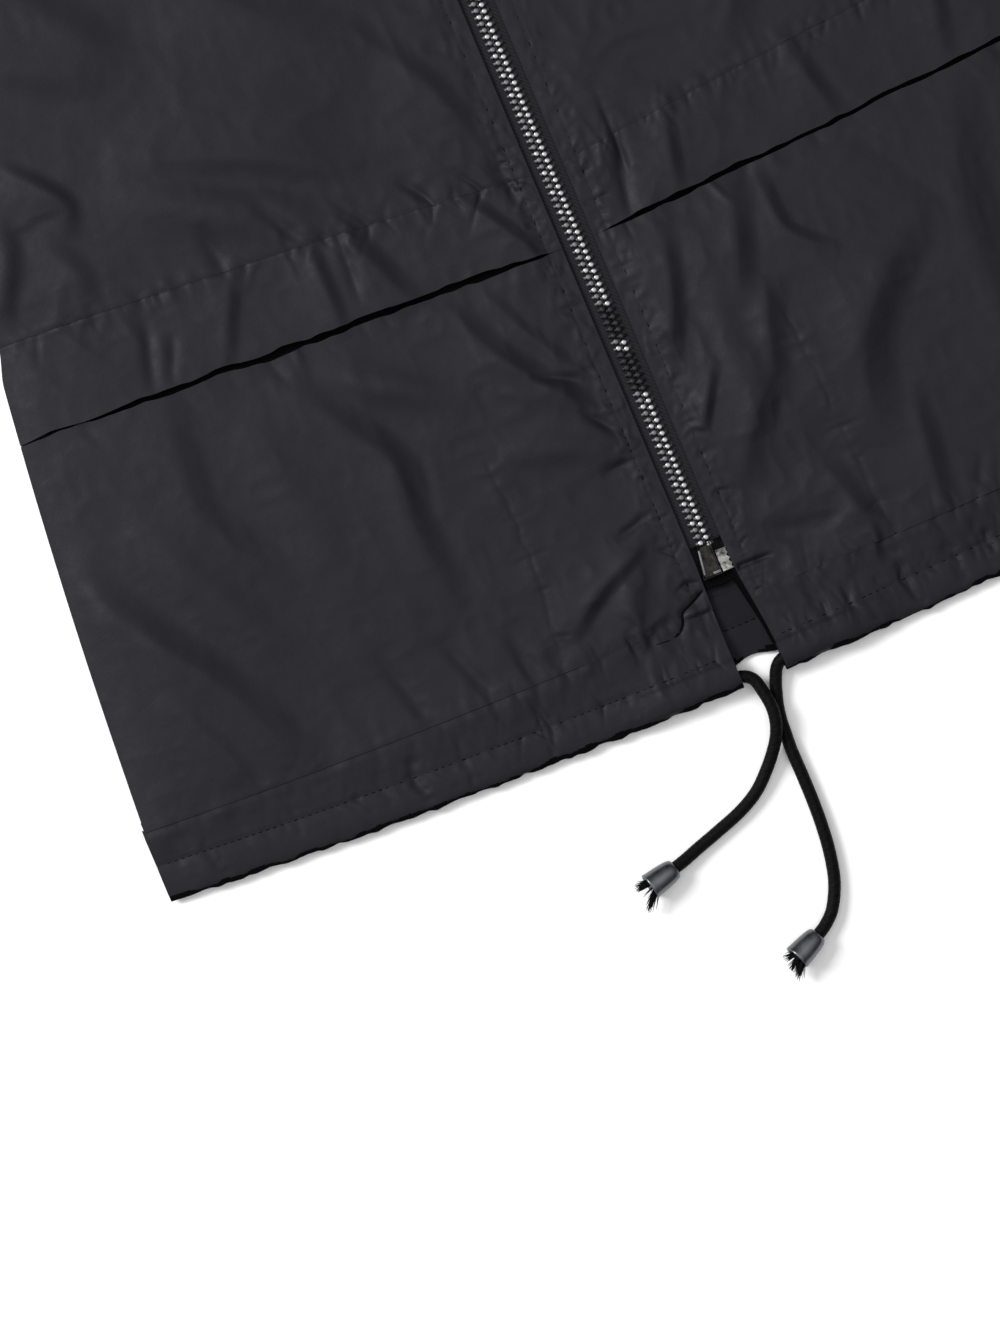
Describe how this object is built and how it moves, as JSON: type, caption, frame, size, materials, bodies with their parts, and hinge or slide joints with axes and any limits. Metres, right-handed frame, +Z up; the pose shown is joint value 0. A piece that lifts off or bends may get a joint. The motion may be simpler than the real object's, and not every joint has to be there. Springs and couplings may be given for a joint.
{
  "type": "rain jacket",
  "caption": "Thin hip-length rain jacket laid flat and face up, zip closed, with a gathered hem and free drawcord ends.",
  "frame": {"origin": "middle of the jacket's width and length, without the drawcord ends, on the surface it lies on", "axes": "+X to the wearer's left (viewer's right), +Y from the hem to the collar, +Z up from the surface"},
  "size_m": [1.416, 0.8843, 0.0129],
  "materials": {
    "nylon": "thin woven nylon with a soft sheen",
    "dark_tape": "black woven tape",
    "zip_metal": "gunmetal",
    "drawcord": "black braided cord",
    "bell_metal": "polished gunmetal"
  },
  "bodies": {
    "jacket": {"back": "nylon", "hem_casing_back": "nylon", "front_upper_left": "nylon", "front_upper_right": "nylon", "pocket_band_left": "nylon", "pocket_band_right": "nylon", "front_lower_left": "nylon", "front_lower_right": "nylon", "hem_casing_left": "nylon", "hem_casing_right": "nylon", "sleeve_left": "nylon", "sleeve_right": "nylon", "collar": "nylon", "pocket_facing_left": "dark_tape", "pocket_facing_right": "dark_tape", "zip_tape_left": "dark_tape", "zip_tape_right": "dark_tape", "zip_chain": "zip_metal", "zip_retainer_box": "zip_metal", "zip_insert_pin": "zip_metal", "zip_slider": "zip_metal", "drawcord_left": "drawcord", "drawcord_right": "drawcord", "cord_tuft_left": "drawcord", "cord_tuft_right": "drawcord", "cord_bell_left": "bell_metal", "cord_bell_right": "bell_metal"},
    "zip_pull": {"zip_pull_tab": "zip_metal"}
  },
  "joints": [
    {"name": "zip_pull_hinge", "type": "hinge", "parent": "jacket", "child": "zip_pull", "pos_m": [0, 0.27888, 0.0084], "axis": [-1, 0, 0], "range_deg": [0, 160]}
  ]
}
